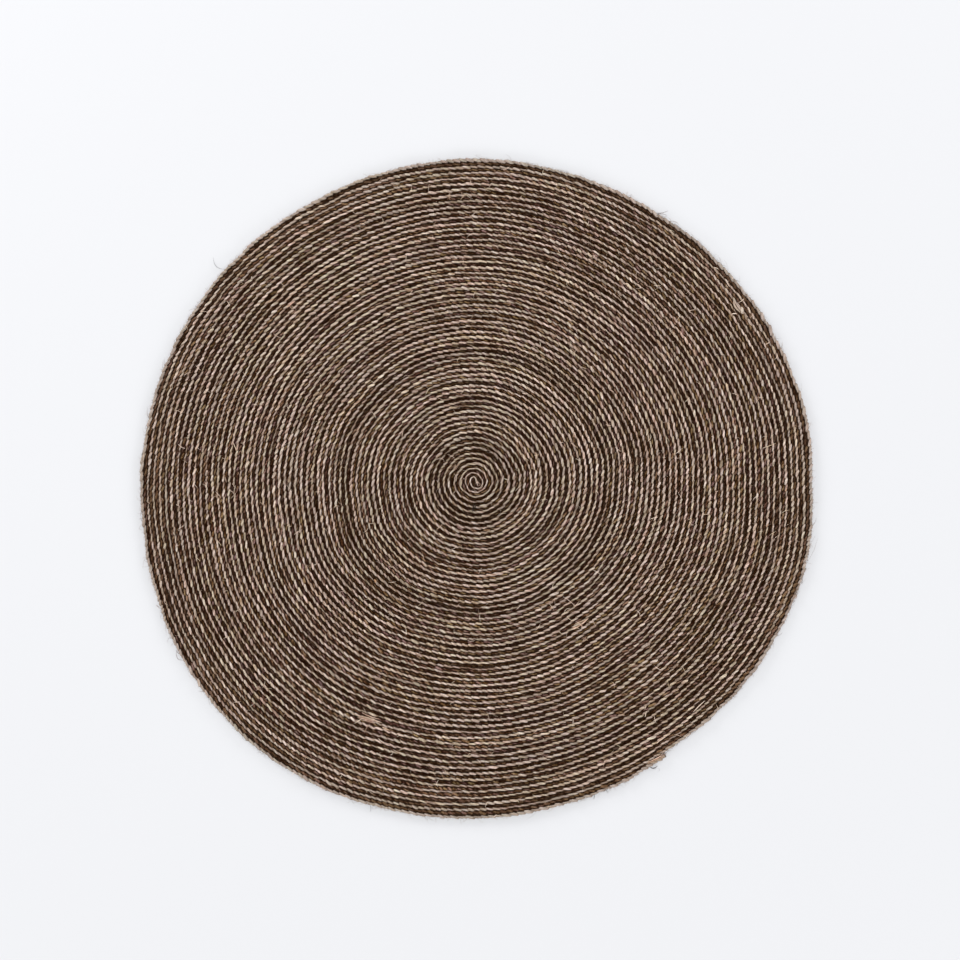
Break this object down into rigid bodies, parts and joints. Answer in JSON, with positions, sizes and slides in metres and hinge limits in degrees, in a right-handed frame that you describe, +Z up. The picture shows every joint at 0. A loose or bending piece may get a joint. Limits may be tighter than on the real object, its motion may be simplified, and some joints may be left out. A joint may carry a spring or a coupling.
{
  "type": "round jute rug",
  "caption": "Flat round rug of natural and dark brown two-ply jute ropes, wound side by side in a spiral and sewn turn to turn.",
  "frame": {"origin": "centre of the rug's bounding box, on the floor that it lies on", "axes": "+Z up out of the rug; +X to the right and +Y away from the viewer in the picture, which looks straight down"},
  "size_m": [1.2072, 1.1842, 0.006],
  "materials": {
    "natural_jute": "matt two-ply jute rope in its natural greyish tan, with loose fibres",
    "dark_jute": "matt two-ply jute rope dyed dark brown"
  },
  "bodies": {
    "root": {"rope_coil": "natural_jute"}
  },
  "joints": []
}
